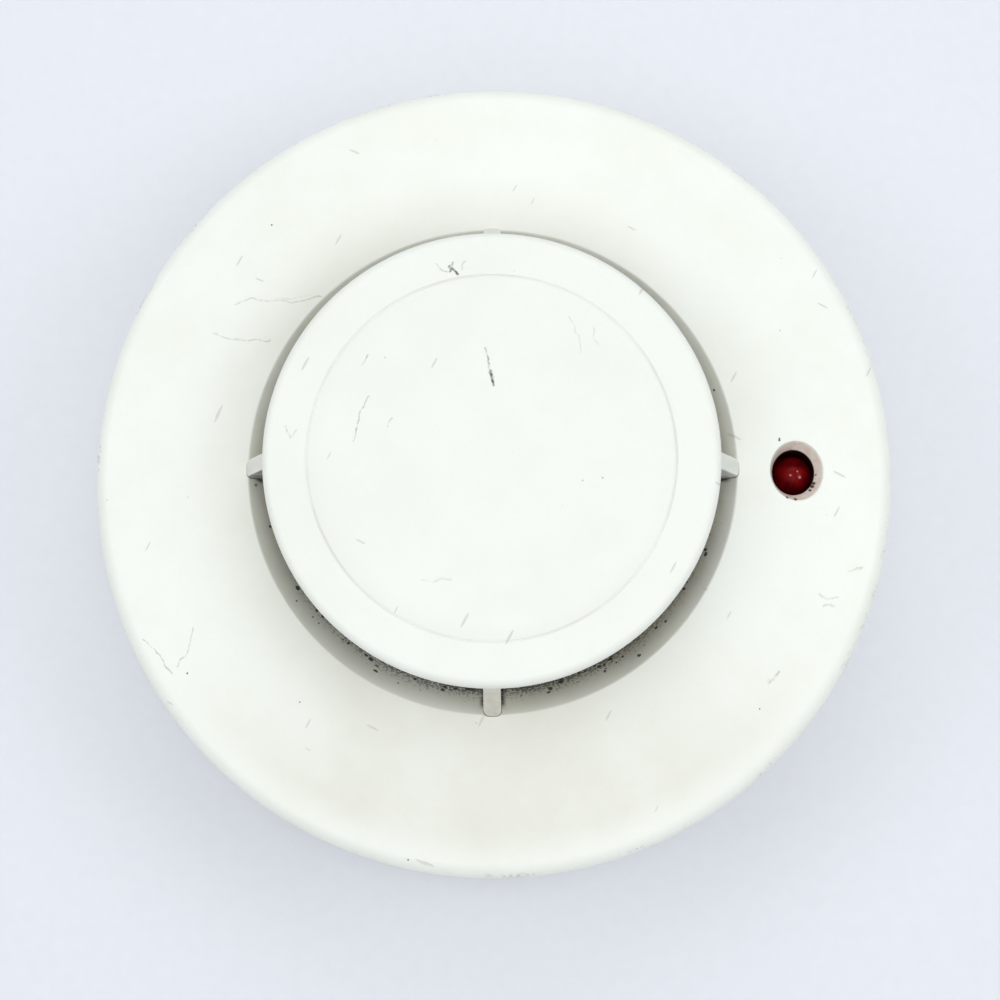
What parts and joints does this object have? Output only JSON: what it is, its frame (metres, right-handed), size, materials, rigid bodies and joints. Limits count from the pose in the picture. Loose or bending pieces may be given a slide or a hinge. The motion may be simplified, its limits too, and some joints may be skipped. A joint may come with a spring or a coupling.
{
  "type": "heat detector",
  "caption": "Round ceiling heat detector: a white cover round a raised sensing cap with an air gap under it and a recessed red lamp, on a twist-lock mounting base.",
  "frame": {"origin": "centre of the base's flat ceiling face, at the middle of the bottom of the bounding box", "axes": "+Z from the ceiling face towards the sensing cap, +X through the indicator lamp"},
  "size_m": [0.102, 0.102, 0.044],
  "materials": {
    "cover_plastic": "satin white moulding",
    "cap_plastic": "satin white moulding",
    "chassis_plastic": "satin off-white moulding",
    "lamp_lens": "clear dark red lens",
    "bead_epoxy": "dipped epoxy",
    "sleeve_plastic": "insulating sleeve",
    "board_laminate": "solder mask",
    "component_black": "moulded epoxy",
    "capacitor_can": "bright can",
    "nickel_plate": "nickel plated",
    "terminal_brass": "plain brass",
    "screw_steel": "zinc plated",
    "seal_rubber": "matt",
    "label_film": "blank label"
  },
  "bodies": {
    "base": {"mounting_base": "cover_plastic", "lock_screw": "screw_steel", "terminal_plate_1": "terminal_brass", "terminal_plate_2": "terminal_brass", "terminal_plate_3": "terminal_brass", "terminal_plate_4": "terminal_brass", "contact_spring_1": "nickel_plate", "contact_spring_2": "nickel_plate", "contact_spring_3": "nickel_plate", "contact_spring_4": "nickel_plate", "wire_clamp_1": "screw_steel", "wire_clamp_2": "screw_steel", "wire_clamp_3": "screw_steel", "wire_clamp_4": "screw_steel", "terminal_screw_1": "terminal_brass", "terminal_screw_2": "terminal_brass", "terminal_screw_3": "terminal_brass", "terminal_screw_4": "terminal_brass"},
    "head": {"outer_cover": "cover_plastic", "sensor_cap": "cap_plastic", "chamber_floor": "chassis_plastic", "thermistor_bead": "bead_epoxy", "thermistor_sleeve": "sleeve_plastic", "thermistor_lead_1": "nickel_plate", "thermistor_lead_2": "nickel_plate", "indicator_lamp": "lamp_lens", "lamp_lead_1": "nickel_plate", "lamp_lead_2": "nickel_plate", "main_circuit_board": "board_laminate", "microcontroller_chip": "component_black", "line_interface_chip": "component_black", "bridge_rectifier": "component_black", "surge_suppressor": "component_black", "electrolytic_capacitor": "capacitor_can", "resistor_1": "component_black", "resistor_2": "component_black", "resistor_3": "component_black", "resistor_4": "component_black", "rear_chassis": "chassis_plastic", "seal_ring": "seal_rubber", "rating_label": "label_film", "cap_screw_1": "screw_steel", "cap_screw_2": "screw_steel", "cap_screw_3": "screw_steel", "cap_screw_4": "screw_steel", "cover_screw_1": "screw_steel", "cover_screw_2": "screw_steel", "cover_screw_3": "screw_steel", "cover_screw_4": "screw_steel", "contact_blade_1": "nickel_plate", "contact_blade_2": "nickel_plate", "contact_blade_3": "nickel_plate", "contact_blade_4": "nickel_plate", "blade_screw_1": "screw_steel", "blade_screw_2": "screw_steel", "blade_screw_3": "screw_steel", "blade_screw_4": "screw_steel"}
  },
  "joints": [
    {"name": "head_twist", "type": "hinge", "parent": "base", "child": "head", "pos_m": [0, 0, 0.011], "axis": [0, 0, 1], "range_deg": [0, 20]}
  ]
}
